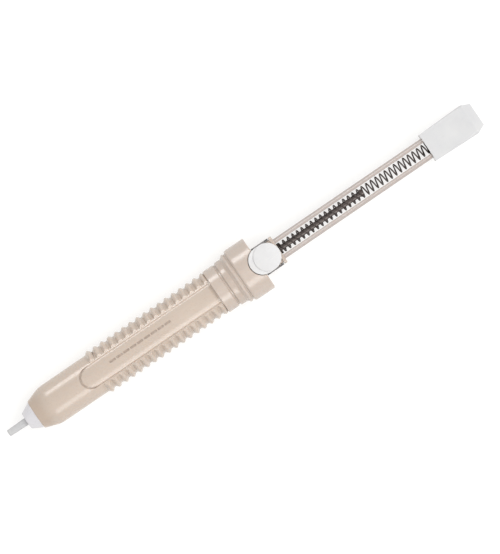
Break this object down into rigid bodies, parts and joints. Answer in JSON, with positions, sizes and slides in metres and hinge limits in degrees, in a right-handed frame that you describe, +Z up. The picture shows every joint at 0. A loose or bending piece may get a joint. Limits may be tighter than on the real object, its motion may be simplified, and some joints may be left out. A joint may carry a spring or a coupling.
{
  "type": "desoldering pump",
  "caption": "Spring-loaded hand pump for sucking up molten solder, with a ribbed barrel, tapered nozzle, slotted loading shaft with a knob, and a release button.",
  "frame": {"origin": "on the bench under the middle of the pump's bounding box, the pump lying on the flat of its hand guard with its axis level, 17 mm up", "axes": "+X along the pump from the nozzle to the knob, +Z up through the release button, +Y to the left when looking along +X"},
  "size_m": [0.3556, 0.037, 0.0357],
  "materials": {
    "beige_plastic": "satin moulded, slightly translucent",
    "white_plastic": "satin moulded",
    "button_plastic": "gloss moulded",
    "pale_plastic": "satin moulded",
    "nozzle_plastic": "matte, waxy",
    "seal_rubber": "matt",
    "dark_steel": "oil-blackened wire",
    "strap_steel": "dark sheet steel",
    "zinc_steel": "zinc plated"
  },
  "bodies": {
    "barrel": {"nozzle": "nozzle_plastic", "nose_cone": "white_plastic", "tip_retainer": "white_plastic", "nose_seal": "seal_rubber", "barrel": "beige_plastic", "rear_cap": "beige_plastic", "bumper": "seal_rubber", "spring_seat": "zinc_steel", "seat_pin": "zinc_steel", "guide_rod": "dark_steel", "main_spring": "dark_steel", "latch_springs": "zinc_steel"},
    "plunger": {"loading_shaft": "beige_plastic", "knob": "pale_plastic", "spring_washer": "zinc_steel", "piston": "white_plastic", "piston_o_ring": "seal_rubber", "piston_washer": "zinc_steel", "piston_screw": "zinc_steel", "cleaning_rod": "zinc_steel"},
    "latch": {"button": "button_plastic", "latch_strap": "strap_steel", "latch_bar": "strap_steel"}
  },
  "joints": [
    {"name": "plunger_slide", "type": "slide", "parent": "barrel", "child": "plunger", "axis": [-1, 0, 0], "range_m": [0, 0.075], "stiffness_N_per_m": 250, "springref_m": -0.03, "deforming": ["main_spring"]},
    {"name": "button_press", "type": "slide", "parent": "barrel", "child": "latch", "axis": [0, 0, -1], "range_m": [0, 0.0018], "stiffness_N_per_m": 800, "springref_m": -0.002, "deforming": ["latch_springs"]}
  ]
}
